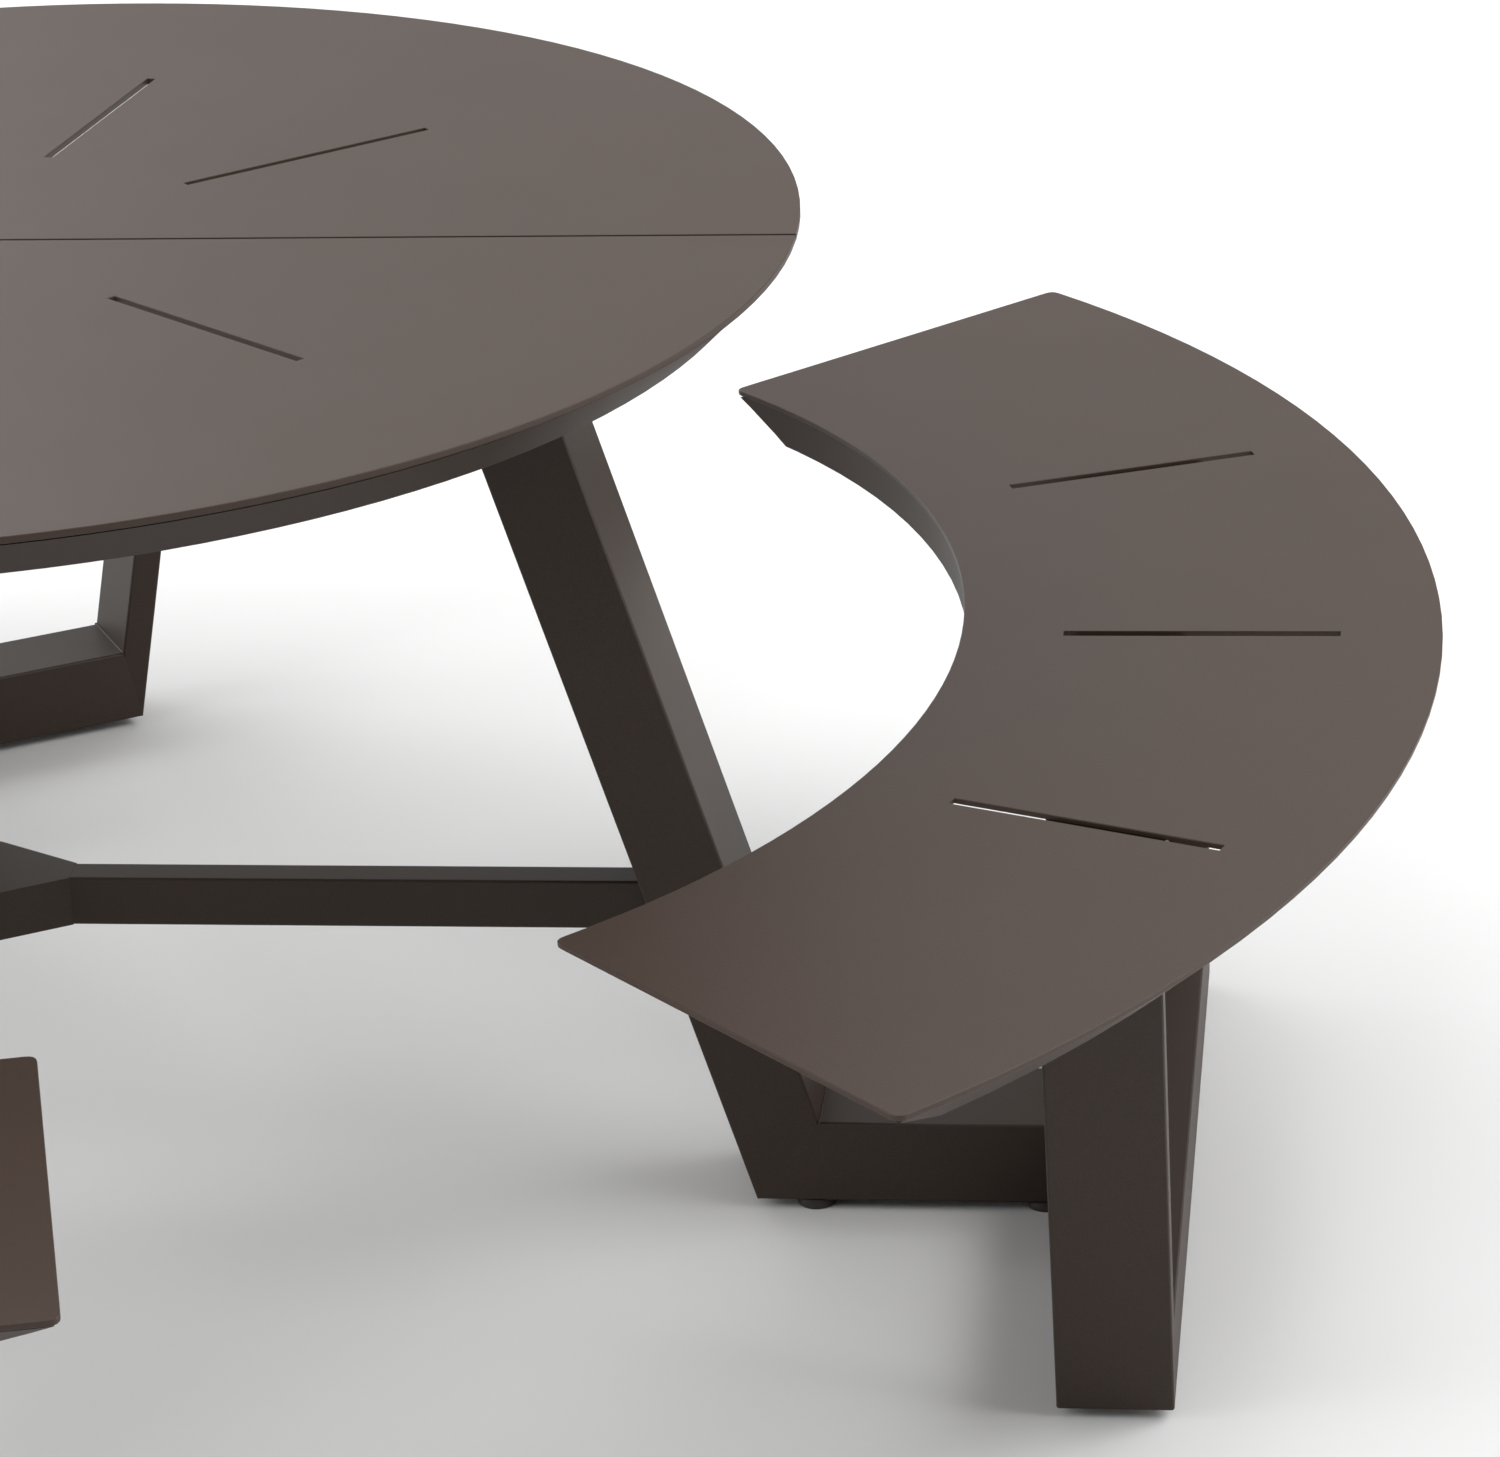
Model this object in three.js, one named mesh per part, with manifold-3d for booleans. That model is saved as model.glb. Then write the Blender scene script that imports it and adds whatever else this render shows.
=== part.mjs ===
// A round picnic table with three curved seats, in powder-coated steel.
//
// Three identical arms stand 120 degrees apart round a vertical axis. Each arm is a leaning table leg, a foot
// beam that runs outward from it, and an upturned frame that carries one curved seat. Three struts tie the legs
// to a hub. The round top is three sectors, and its seams lie over the arms.
//
// Millimetres, +Z up. The origin is on the ground under the middle of the object's bounding box, which is not
// quite the table's axis, because three arms reach further one way along X than the other.

import * as THREE from 'three';
import { mergeVertices } from 'three/addons/utils/BufferGeometryUtils.js';
import Module from 'manifold-3d';

const wasm = await Module();
wasm.setup();

// ---- Driving dimensions ----

const ARM_COUNT = 3;
const ARM_STEP = (2 * Math.PI) / ARM_COUNT;
const ROUND_SEGMENTS = 144; // facets in a full circle of the large round parts
const SMALL_SEGMENTS = 16; // facets in a full circle of a screw, hole or glide
const ARC_STEPS = ROUND_SEGMENTS / ARM_COUNT; // facets in the arc of one sector or seat
const CLEARANCE = 0.3; // left between parts that touch

// Table top
const TABLE_HEIGHT = 740;
const TABLE_RADIUS = 610;
const TABLE_THICKNESS = 5;
const SEAM_WIDTH = 2.6;
const TABLE_SLOT = { start: 198, end: 402, width: 6.5, angles: [-20, 20] };
const TABLE_SKIRT = { depth: 37.5, topInset: 5, bottomInset: 36 };

// Seats
const SEAT_HEIGHT = 441;
const SEAT_THICKNESS = 4;
const SEAT_INNER_RADIUS = 717;
const SEAT_OUTER_RADIUS = 1058;
const SEAT_END_ANGLE = 45.2; // direction of a seat's end edge, in degrees from the arm
const SEAT_END_OFFSET = 13; // distance from the table's axis to the line of that edge
const SEAT_CORNER = 8; // how far the corner rounding reaches along each edge
const SEAT_SLOT = { start: 790, end: 986, width: 8.5, angles: [-22, 0, 22] };
const SEAT_SKIRT = { depth: 33, topInset: 4, outerInset: 34, endInset: 62, innerInset: 2 };

// Skirts. A neck with an inward flange lies against the plate, and leaves a shadow gap under the plate's edge.
const SKIRT_WALL = 3;
const SKIRT_FLANGE = 26;
const SHADOW_GAP = 2;
const NECK_INSET = 10;

// Frame
const GROUND_CLEARANCE = 8;
const TUBE_WALL = 3;
const BEAM_HEIGHT = 64;
const BEAM_WIDTH = 95;
const LEG_TOE = 557; // distance from the axis to the leg's inner edge at the bottom of the foot beam
const LEG_LEAN = 0.297; // how far the leg leans inward for each millimetre of height
const LEG_DEPTH = 67; // measured level, along the arm
const CROSSBEAM_START = 796;
const CROSSBEAM_END = 877;
const CROSSBEAM_HALF_LENGTH = 346;
const SEAT_LEG_LEAN = 0.2;
const SEAT_LEG_THICKNESS = 26; // measured level, across the arm
const SEAT_RAIL_HEIGHT = 22;

// Struts and hub
const STRUT_TOP = 250;
const STRUT_HEIGHT = 38;
const STRUT_WIDTH = 27;
const STRUT_WALL = 2.5;
const HUB_REACH = 52;
const HUB_DRAIN_RADIUS = 8;

// Plates and screws under the top
const BRACKET = { start: 305, end: 445, halfWidth: 105, thickness: 6, corner: 15, holeInset: 18, holeRadius: 4.5 };
const CENTRE_DISC_RADIUS = 110;
const CENTRE_DISC_THICKNESS = 6;
const CENTRE_DISC_SEGMENTS = 36;
const TIP_SCREW = {
  reach: 70,
  shankRadius: 4,
  holeRadius: 4.5,
  holeDepth: 3.5,
  threadDepth: 3,
  headAcross: 13,
  headHeight: 5.3,
};

// Glides under the foot beam and the crossbeam
const GLIDE_RADIUS = 14.5;
const GLIDE_FLAT_RADIUS = 13;
const GLIDE_ROUNDING = 1.5;
const GLIDE_PLACES = [
  { name: 'inner', along: 600, across: 33 },
  { name: 'outer', along: 770, across: 33 },
  { name: 'end', along: 837, across: 285 },
];

// ---- Levels and places worked out from them ----

const TABLE_UNDERSIDE = TABLE_HEIGHT - TABLE_THICKNESS;
const SEAT_UNDERSIDE = SEAT_HEIGHT - SEAT_THICKNESS;
const BRACKET_TOP = TABLE_UNDERSIDE - CLEARANCE;
const LEG_TOP = BRACKET_TOP - BRACKET.thickness - CLEARANCE;
const BEAM_TOP = GROUND_CLEARANCE + BEAM_HEIGHT;
const RAIL_TOP = SEAT_UNDERSIDE - CLEARANCE;
const RAIL_BOTTOM = RAIL_TOP - SEAT_RAIL_HEIGHT;

const radians = THREE.MathUtils.degToRad;

/** Angle from the arm to the line of a seat's end edge, at a given distance from the axis. */
function seatEndAngle(radius) {
  return radians(SEAT_END_ANGLE) + Math.asin(SEAT_END_OFFSET / radius);
}

/** X of the point of the back seats that is furthest from the first seat. */
function farthestSeatX() {
  const centre = new THREE.Vector2();
  const points = seatOutline().getPoints(ARC_STEPS / 2);
  return Math.min(...points.map((point) => point.rotateAround(centre, ARM_STEP).x));
}

// ---- Finishes ----

function coating(name, color, roughness) {
  return new THREE.MeshStandardMaterial({ name, color, roughness, metalness: 0.0 });
}

const TOP_COATING = coating('top_coating', 0x6d6660, 0.55);
const SEAT_COATING = coating('seat_coating', 0x655c57, 0.55);
const FRAME_COATING = coating('frame_coating', 0x453f3b, 0.6);
const GLIDE_RUBBER = coating('glide_rubber', 0x1c1a19, 0.8);
const FASTENER_STEEL = new THREE.MeshStandardMaterial({
  name: 'fastener_steel',
  color: 0xa5a6a8,
  roughness: 0.35,
  metalness: 1.0,
});

// ---- Solids: joining and cutting ----

function toSolid(geometry) {
  const bare = geometry.clone();
  bare.deleteAttribute('normal');
  bare.deleteAttribute('uv');
  const merged = mergeVertices(bare, 1e-4);
  return new wasm.Manifold(
    new wasm.Mesh({
      numProp: 3,
      vertProperties: new Float32Array(merged.attributes.position.array),
      triVerts: new Uint32Array(merged.index.array),
    }),
  );
}

function toGeometry(solid) {
  const { vertProperties, triVerts } = solid.getMesh();
  const geometry = new THREE.BufferGeometry();
  geometry.setAttribute('position', new THREE.BufferAttribute(vertProperties, 3));
  geometry.setIndex(new THREE.BufferAttribute(triVerts, 1));
  geometry.computeVertexNormals();
  return geometry;
}

/** The first solid with every other one cut out of it. */
function cutFrom(solid, ...cutters) {
  return cutters.reduce((rest, cutter) => rest.subtract(cutter), solid);
}

/** What all of the given solids share. */
function sharedBy(solid, ...others) {
  return others.reduce((rest, other) => rest.intersect(other), solid);
}

// ---- Solids: basic forms ----

const UPRIGHT_ALONG_ARM = new THREE.Matrix4().makeBasis(
  new THREE.Vector3(1, 0, 0),
  new THREE.Vector3(0, 0, 1),
  new THREE.Vector3(0, -1, 0),
);
const UPRIGHT_ACROSS_ARM = new THREE.Matrix4().makeBasis(
  new THREE.Vector3(0, 1, 0),
  new THREE.Vector3(0, 0, 1),
  new THREE.Vector3(1, 0, 0),
);

function outline(points) {
  return new THREE.Shape(points.map(([x, y]) => new THREE.Vector2(x, y)));
}

/** A level plate: an outline seen from above, given its lower and upper faces. */
function plate(shape, bottom, top) {
  const geometry = new THREE.ExtrudeGeometry(shape, {
    depth: top - bottom,
    bevelEnabled: false,
    curveSegments: ARC_STEPS / 2,
  });
  geometry.translate(0, 0, bottom);
  return geometry;
}

/** A prism whose outline is a side view along the arm (distance from the axis, height), centred on the arm. */
function prismAlongArm(points, width) {
  const geometry = new THREE.ExtrudeGeometry(outline(points), { depth: width, bevelEnabled: false });
  geometry.translate(0, 0, -width / 2);
  geometry.applyMatrix4(UPRIGHT_ALONG_ARM);
  return geometry;
}

/** A prism whose outline is a view across the arm (sideways distance, height), between two distances along it. */
function prismAcrossArm(points, start, end) {
  const geometry = new THREE.ExtrudeGeometry(outline(points), { depth: end - start, bevelEnabled: false });
  geometry.applyMatrix4(UPRIGHT_ACROSS_ARM);
  geometry.translate(start, 0, 0);
  return geometry;
}

/**
 * The bore of a straight tube, in side view. The tube's corners run a, b along one long side and c, d back
 * along the other. The bore is inset by the wall and runs out past both cut ends, so the tube stays open.
 */
function boreCorners([a, b, c, d], wall) {
  const overrun = 100;
  const start = new THREE.Vector2(...a);
  const along = new THREE.Vector2(...b).sub(start).normalize();
  const across = new THREE.Vector2(-along.y, along.x);
  const side = Math.sign(new THREE.Vector2(...d).sub(start).dot(across));
  across.multiplyScalar(side * wall);
  const shifted = (point, ahead, inward) => [
    point[0] + along.x * ahead + across.x * inward,
    point[1] + along.y * ahead + across.y * inward,
  ];
  return [
    shifted(a, -overrun, 1),
    shifted(b, overrun, 1),
    shifted(c, overrun, -1),
    shifted(d, -overrun, -1),
  ];
}

function tubeAlongArm(corners, width, wall) {
  const body = toSolid(prismAlongArm(corners, width));
  const bore = toSolid(prismAlongArm(boreCorners(corners, wall), width - 2 * wall));
  return toGeometry(cutFrom(body, bore));
}

function tubeAcrossArm(corners, start, end, wall) {
  const body = toSolid(prismAcrossArm(corners, start, end));
  const bore = toSolid(prismAcrossArm(boreCorners(corners, wall), start + wall, end - wall));
  return toGeometry(cutFrom(body, bore));
}

/** A ring round the table's axis, from a closed profile of [radius, height] points. */
function ring(profile) {
  const closed = [...profile, profile[0]].map(([radius, height]) => new THREE.Vector2(radius, height));
  const geometry = new THREE.LatheGeometry(closed, ROUND_SEGMENTS);
  geometry.rotateX(Math.PI / 2);
  return toSolid(geometry);
}

function disc(radius, bottom, top, segments) {
  const geometry = new THREE.CylinderGeometry(radius, radius, top - bottom, segments);
  geometry.rotateX(Math.PI / 2);
  geometry.translate(0, 0, (bottom + top) / 2);
  return geometry;
}

/** A very large block that fills everything on the inner side of a plane. */
function halfSpace(point, outwardNormal) {
  const size = 4000;
  const block = new THREE.BoxGeometry(size, size, size);
  block.translate(0, 0, -size / 2);
  const turn = new THREE.Quaternion().setFromUnitVectors(
    new THREE.Vector3(0, 0, 1),
    outwardNormal.clone().normalize(),
  );
  block.applyQuaternion(turn);
  block.translate(point.x, point.y, point.z);
  return toSolid(block);
}

/** A straight slot, pointing away from the axis. */
function radialSlot({ start, end, width }, degrees) {
  const turn = radians(degrees);
  const corners = [
    [start, -width / 2],
    [start, width / 2],
    [end, width / 2],
    [end, -width / 2],
  ];
  return new THREE.Path(
    corners.map(([x, y]) => new THREE.Vector2(x, y).rotateAround(new THREE.Vector2(), turn)),
  );
}

// ---- Table top ----

/** Half the opening angle of a sector's arc, at a given distance from the axis, clear of the seam. */
function sectorHalfAngle(radius) {
  return ARM_STEP / 2 - Math.asin(SEAM_WIDTH / 2 / radius);
}

/** The two planes that bound one sector, which is centred on +X. */
function sectorSides() {
  return [-1, 1].map((side) => {
    const normal = new THREE.Vector3(-Math.sin(ARM_STEP / 2), side * Math.cos(ARM_STEP / 2), 0);
    const point = normal.clone().multiplyScalar(-SEAM_WIDTH / 2);
    return halfSpace(point, normal);
  });
}

function tipScrewBlindHole() {
  const holeTop = TABLE_UNDERSIDE + TIP_SCREW.holeDepth;
  const hole = disc(TIP_SCREW.holeRadius, TABLE_UNDERSIDE - 1, holeTop, SMALL_SEGMENTS);
  hole.translate(TIP_SCREW.reach, 0, 0);
  return toSolid(hole);
}

function tabletopSector() {
  const halfAngle = sectorHalfAngle(TABLE_RADIUS);
  const tip = SEAM_WIDTH / 2 / Math.sin(ARM_STEP / 2);
  const shape = new THREE.Shape();
  shape.moveTo(tip, 0);
  shape.lineTo(TABLE_RADIUS * Math.cos(halfAngle), -TABLE_RADIUS * Math.sin(halfAngle));
  shape.absarc(0, 0, TABLE_RADIUS, -halfAngle, halfAngle, false);
  for (const degrees of TABLE_SLOT.angles) shape.holes.push(radialSlot(TABLE_SLOT, degrees));
  const sector = plate(shape, TABLE_UNDERSIDE, TABLE_HEIGHT);
  return toGeometry(cutFrom(toSolid(sector), tipScrewBlindHole()));
}

/** The sloping skirt under a sector's rim, with a neck and a flange that lie against the plate. */
function tableSkirt() {
  const { depth, topInset, bottomInset } = TABLE_SKIRT;
  const top = TABLE_UNDERSIDE - CLEARANCE;
  const shoulder = top - SHADOW_GAP;
  const bottom = TABLE_HEIGHT - depth;
  const flangeBottom = shoulder - SKIRT_WALL;
  const neck = TABLE_RADIUS - NECK_INSET;
  const slope = skirtSlope(topInset, bottomInset, shoulder, bottom);
  const band = ring([
    [neck, top],
    [neck - SKIRT_FLANGE, top],
    [neck - SKIRT_FLANGE, flangeBottom],
    [TABLE_RADIUS - slope.insideInset(flangeBottom), flangeBottom],
    [TABLE_RADIUS - slope.insideInset(bottom), bottom],
    [TABLE_RADIUS - bottomInset, bottom],
    [TABLE_RADIUS - topInset, shoulder],
    [neck, shoulder],
  ]);
  return toGeometry(sharedBy(band, ...sectorSides()));
}

/** How far a sloping skirt's inside face lies in from the plate's edge, at any height. */
function skirtSlope(topInset, bottomInset, top, bottom) {
  const run = bottomInset - topInset;
  const drop = top - bottom;
  const levelWall = (SKIRT_WALL * Math.hypot(run, drop)) / drop;
  const insideInset = (height) => topInset + (run * (top - height)) / drop + levelWall;
  return { insideInset };
}

// ---- Seats (in an arm's frame: the arm runs along +X) ----

/** A point on a seat's outline, at a distance from the axis and moved in from the end edge. */
function seatPoint(radius, side, alongArc = 0) {
  const angle = side * (seatEndAngle(radius) - alongArc / radius);
  return new THREE.Vector2(radius * Math.cos(angle), radius * Math.sin(angle));
}

function seatOutline() {
  const inner = SEAT_INNER_RADIUS;
  const outer = SEAT_OUTER_RADIUS;
  const innerHalf = seatEndAngle(inner) - SEAT_CORNER / inner;
  const outerHalf = seatEndAngle(outer) - SEAT_CORNER / outer;
  const shape = new THREE.Shape();
  shape.absarc(0, 0, outer, -outerHalf, outerHalf, false);
  addCorner(shape, seatPoint(outer, 1), seatPoint(outer - SEAT_CORNER, 1));
  shape.lineTo(...seatPoint(inner + SEAT_CORNER, 1));
  addCorner(shape, seatPoint(inner, 1), seatPoint(inner, 1, SEAT_CORNER));
  shape.absarc(0, 0, inner, innerHalf, -innerHalf, true);
  addCorner(shape, seatPoint(inner, -1), seatPoint(inner + SEAT_CORNER, -1));
  shape.lineTo(...seatPoint(outer - SEAT_CORNER, -1));
  addCorner(shape, seatPoint(outer, -1), seatPoint(outer, -1, SEAT_CORNER));
  return shape;
}

/** Rounds a corner of an outline off, up to a given end point. */
function addCorner(shape, corner, end) {
  const start = shape.currentPoint.clone();
  const steps = 4;
  for (let step = 1; step <= steps; step += 1) {
    const t = step / steps;
    const x = (1 - t) ** 2 * start.x + 2 * t * (1 - t) * corner.x + t ** 2 * end.x;
    const y = (1 - t) ** 2 * start.y + 2 * t * (1 - t) * corner.y + t ** 2 * end.y;
    shape.lineTo(x, y);
  }
}

function seatPlate() {
  const shape = seatOutline();
  for (const degrees of SEAT_SLOT.angles) shape.holes.push(radialSlot(SEAT_SLOT, degrees));
  return plate(shape, SEAT_UNDERSIDE, SEAT_HEIGHT);
}

/** The plane of one seat end, which may lean inward on its way down. */
function seatEndPlane(side, top, topInset, bottom, bottomInset) {
  const turn = radians(SEAT_END_ANGLE);
  const level = new THREE.Vector3(-Math.sin(turn), side * Math.cos(turn), 0);
  const point = level.clone().multiplyScalar(SEAT_END_OFFSET - topInset).setZ(top);
  const slope = (bottomInset - topInset) / (top - bottom);
  return halfSpace(point, level.clone().setZ(-slope));
}

/** A block with the seat's plan, inset from the plate's edges by amounts that may differ at top and bottom. */
function seatBlock({ top, bottom, inner, outerTop, outerBottom, endTop, endBottom }) {
  const body = ring([
    [SEAT_INNER_RADIUS + inner, top],
    [SEAT_INNER_RADIUS + inner, bottom],
    [SEAT_OUTER_RADIUS - outerBottom, bottom],
    [SEAT_OUTER_RADIUS - outerTop, top],
  ]);
  const ends = [-1, 1].map((side) => seatEndPlane(side, top, endTop, bottom, endBottom));
  const front = halfSpace(new THREE.Vector3(0, 0, 0), new THREE.Vector3(-1, 0, 0));
  return sharedBy(body, front, ...ends);
}

function uprightSeatBlock(top, bottom, inner, edgeInset) {
  return seatBlock({
    top,
    bottom,
    inner,
    outerTop: edgeInset,
    outerBottom: edgeInset,
    endTop: edgeInset,
    endBottom: edgeInset,
  });
}

/** The skirt round a seat: upright along the inner arc, sloping inward along the outer arc and both ends. */
function seatSkirt() {
  const { depth, topInset, outerInset, endInset, innerInset } = SEAT_SKIRT;
  const overlap = 0.5;
  const top = SEAT_UNDERSIDE - CLEARANCE;
  const shoulder = top - SHADOW_GAP;
  const bottom = SEAT_HEIGHT - depth;
  const flangeBottom = shoulder - SKIRT_WALL;
  const outerSlope = skirtSlope(topInset, outerInset, shoulder, bottom);
  const endSlope = skirtSlope(topInset, endInset, shoulder, bottom);
  const neck = uprightSeatBlock(top, flangeBottom, innerInset, NECK_INSET);
  const flare = seatBlock({
    top: shoulder,
    bottom,
    inner: innerInset,
    outerTop: topInset,
    outerBottom: outerInset,
    endTop: topInset,
    endBottom: endInset,
  });
  const hollow = seatBlock({
    top: flangeBottom,
    bottom: bottom - overlap,
    inner: innerInset + SKIRT_WALL,
    outerTop: outerSlope.insideInset(flangeBottom),
    outerBottom: outerSlope.insideInset(bottom - overlap),
    endTop: endSlope.insideInset(flangeBottom),
    endBottom: endSlope.insideInset(bottom - overlap),
  });
  const mouth = uprightSeatBlock(
    top + overlap,
    flangeBottom - overlap,
    innerInset + SKIRT_FLANGE,
    NECK_INSET + SKIRT_FLANGE,
  );
  return toGeometry(cutFrom(neck.add(flare), hollow, mouth));
}

// ---- Frame of one arm ----

/** Distance from the axis to the table leg's inner edge, at a height. */
function legInnerEdge(height) {
  return LEG_TOE - LEG_LEAN * (height - GROUND_CLEARANCE);
}

/** Sideways distance from the arm to a seat leg's outer edge, at a height. */
function seatLegOuterEdge(height) {
  return CROSSBEAM_HALF_LENGTH + SEAT_LEG_LEAN * (height - GROUND_CLEARANCE);
}

function seatLegInnerEdge(height) {
  return seatLegOuterEdge(height) - SEAT_LEG_THICKNESS;
}

/** The leaning leg, mitred to the foot beam at the bottom and cut level at the top. */
function tableLeg() {
  const corners = [
    [LEG_TOE, GROUND_CLEARANCE],
    [legInnerEdge(LEG_TOP), LEG_TOP],
    [legInnerEdge(LEG_TOP) + LEG_DEPTH, LEG_TOP],
    [legInnerEdge(BEAM_TOP) + LEG_DEPTH, BEAM_TOP],
  ];
  return tubeAlongArm(corners, BEAM_WIDTH, TUBE_WALL);
}

function footBeam() {
  const heelGap = CLEARANCE * 1.5;
  const corners = [
    [LEG_TOE + heelGap, GROUND_CLEARANCE],
    [CROSSBEAM_START - CLEARANCE, GROUND_CLEARANCE],
    [CROSSBEAM_START - CLEARANCE, BEAM_TOP],
    [legInnerEdge(BEAM_TOP) + LEG_DEPTH + heelGap, BEAM_TOP],
  ];
  return tubeAlongArm(corners, BEAM_WIDTH, TUBE_WALL);
}

/** The bar on the ground across the arm, mitred at both ends to the seat legs. */
function crossbeam() {
  const corners = [
    [-CROSSBEAM_HALF_LENGTH, GROUND_CLEARANCE],
    [CROSSBEAM_HALF_LENGTH, GROUND_CLEARANCE],
    [seatLegInnerEdge(BEAM_TOP), BEAM_TOP],
    [-seatLegInnerEdge(BEAM_TOP), BEAM_TOP],
  ];
  return tubeAcrossArm(corners, CROSSBEAM_START, CROSSBEAM_END, TUBE_WALL);
}

function seatLeg(side) {
  const corners = [
    [seatLegOuterEdge(GROUND_CLEARANCE), GROUND_CLEARANCE],
    [seatLegOuterEdge(RAIL_TOP), RAIL_TOP],
    [seatLegInnerEdge(RAIL_BOTTOM), RAIL_BOTTOM],
    [seatLegInnerEdge(BEAM_TOP), BEAM_TOP],
  ];
  const placed = corners.map(([across, height]) => [side * (across + CLEARANCE), height]);
  return tubeAcrossArm(placed, CROSSBEAM_START, CROSSBEAM_END, TUBE_WALL);
}

/** The rail under the seat that closes the top of the seat frame. */
function seatRail() {
  const shortening = CLEARANCE;
  const topHalf = seatLegOuterEdge(RAIL_TOP) - shortening;
  const bottomHalf = seatLegInnerEdge(RAIL_BOTTOM) - shortening;
  const corners = [
    [-bottomHalf, RAIL_BOTTOM],
    [bottomHalf, RAIL_BOTTOM],
    [topHalf, RAIL_TOP],
    [-topHalf, RAIL_TOP],
  ];
  return tubeAcrossArm(corners, CROSSBEAM_START, CROSSBEAM_END, TUBE_WALL);
}

/** The tie between the hub and the table leg, cut to the slope of the leg. */
function strut() {
  const bottom = STRUT_TOP - STRUT_HEIGHT;
  const legGap = CLEARANCE * 1.2;
  const corners = [
    [HUB_REACH + CLEARANCE, bottom],
    [legInnerEdge(bottom) - legGap, bottom],
    [legInnerEdge(STRUT_TOP) - legGap, STRUT_TOP],
    [HUB_REACH + CLEARANCE, STRUT_TOP],
  ];
  return tubeAlongArm(corners, STRUT_WIDTH, STRUT_WALL);
}

/** A six-sided hollow box: three short faces take the struts, and three long faces lie between them. */
function hub() {
  const outlineAt = (reach, halfWidth) => {
    const points = [];
    for (let arm = 0; arm < ARM_COUNT; arm += 1) {
      for (const side of [-1, 1]) {
        const corner = new THREE.Vector2(reach, side * halfWidth);
        points.push(corner.rotateAround(new THREE.Vector2(), arm * ARM_STEP));
      }
    }
    return new THREE.Shape(points);
  };
  const bottom = STRUT_TOP - STRUT_HEIGHT;
  const body = toSolid(plate(outlineAt(HUB_REACH, STRUT_WIDTH / 2), bottom, STRUT_TOP));
  const hollow = toSolid(
    plate(
      outlineAt(HUB_REACH - TUBE_WALL, STRUT_WIDTH / 2 - TUBE_WALL),
      bottom + TUBE_WALL,
      STRUT_TOP - TUBE_WALL,
    ),
  );
  const drain = toSolid(disc(HUB_DRAIN_RADIUS, bottom - 1, bottom + TUBE_WALL + 1, SMALL_SEGMENTS));
  return toGeometry(cutFrom(body, hollow, drain));
}

// ---- Plates and screws under the top ----

/** The plate on top of a leg. It bridges the seam and has four bolt holes. */
function legBracket() {
  const { start, end, halfWidth, thickness, corner, holeInset, holeRadius } = BRACKET;
  const shape = new THREE.Shape();
  shape.absarc(start + corner, -halfWidth + corner, corner, Math.PI, 1.5 * Math.PI, false);
  shape.absarc(end - corner, -halfWidth + corner, corner, 1.5 * Math.PI, 2 * Math.PI, false);
  shape.absarc(end - corner, halfWidth - corner, corner, 0, 0.5 * Math.PI, false);
  shape.absarc(start + corner, halfWidth - corner, corner, 0.5 * Math.PI, Math.PI, false);
  for (const along of [start + holeInset, end - holeInset]) {
    for (const side of [-1, 1]) {
      const hole = new THREE.Path();
      hole.absarc(along, side * (halfWidth - holeInset), holeRadius, 0, 2 * Math.PI, true);
      shape.holes.push(hole);
    }
  }
  const geometry = new THREE.ExtrudeGeometry(shape, {
    depth: thickness,
    bevelEnabled: false,
    curveSegments: SMALL_SEGMENTS / 4,
  });
  geometry.translate(0, 0, BRACKET_TOP - thickness);
  return geometry;
}

/** The disc that joins the three sector tips. */
function centreDisc() {
  const top = BRACKET_TOP;
  const bottom = top - CENTRE_DISC_THICKNESS;
  const body = toSolid(disc(CENTRE_DISC_RADIUS, bottom, top, CENTRE_DISC_SEGMENTS));
  const holes = [];
  for (let sector = 0; sector < ARM_COUNT; sector += 1) {
    const hole = disc(TIP_SCREW.holeRadius, bottom - 1, top + 1, SMALL_SEGMENTS);
    hole.translate(TIP_SCREW.reach, 0, 0);
    hole.rotateZ((sector + 0.5) * ARM_STEP);
    holes.push(toSolid(hole));
  }
  return toGeometry(cutFrom(body, ...holes));
}

/** A hexagon-headed screw that points up into a sector's tip. */
function tipScrew() {
  const discBottom = BRACKET_TOP - CENTRE_DISC_THICKNESS;
  const headTop = discBottom - CLEARANCE;
  const threadTop = TABLE_UNDERSIDE + TIP_SCREW.threadDepth;
  const hexRadius = TIP_SCREW.headAcross / 2 / Math.cos(Math.PI / 6);
  const head = toSolid(disc(hexRadius, headTop - TIP_SCREW.headHeight, headTop, 6));
  const shank = toSolid(disc(TIP_SCREW.shankRadius, headTop - 1, threadTop, SMALL_SEGMENTS));
  const screw = toGeometry(head.add(shank));
  screw.translate(TIP_SCREW.reach, 0, 0);
  return screw;
}

// ---- Glides ----

/** A low round glide with a flat sole and a rounded lower edge. */
function glide() {
  const top = GROUND_CLEARANCE - CLEARANCE;
  const roundingSteps = 3;
  const profile = [new THREE.Vector2(0, 0)];
  for (let step = 0; step <= roundingSteps; step += 1) {
    const angle = (step / roundingSteps) * (Math.PI / 2);
    profile.push(
      new THREE.Vector2(
        GLIDE_FLAT_RADIUS + GLIDE_ROUNDING * Math.sin(angle),
        GLIDE_ROUNDING * (1 - Math.cos(angle)),
      ),
    );
  }
  profile.push(new THREE.Vector2(GLIDE_RADIUS, top), new THREE.Vector2(0, top));
  const geometry = new THREE.LatheGeometry(profile, SMALL_SEGMENTS);
  geometry.rotateX(Math.PI / 2);
  return geometry;
}

// ---- Assembly ----

/** Where the table's axis stands, so that the origin is under the middle of the bounding box. */
const AXIS_X = -(SEAT_OUTER_RADIUS + farthestSeatX()) / 2;

function addPart(parent, name, geometry, material) {
  const mesh = new THREE.Mesh(geometry, material);
  mesh.name = name;
  parent.add(mesh);
  return mesh;
}

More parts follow.
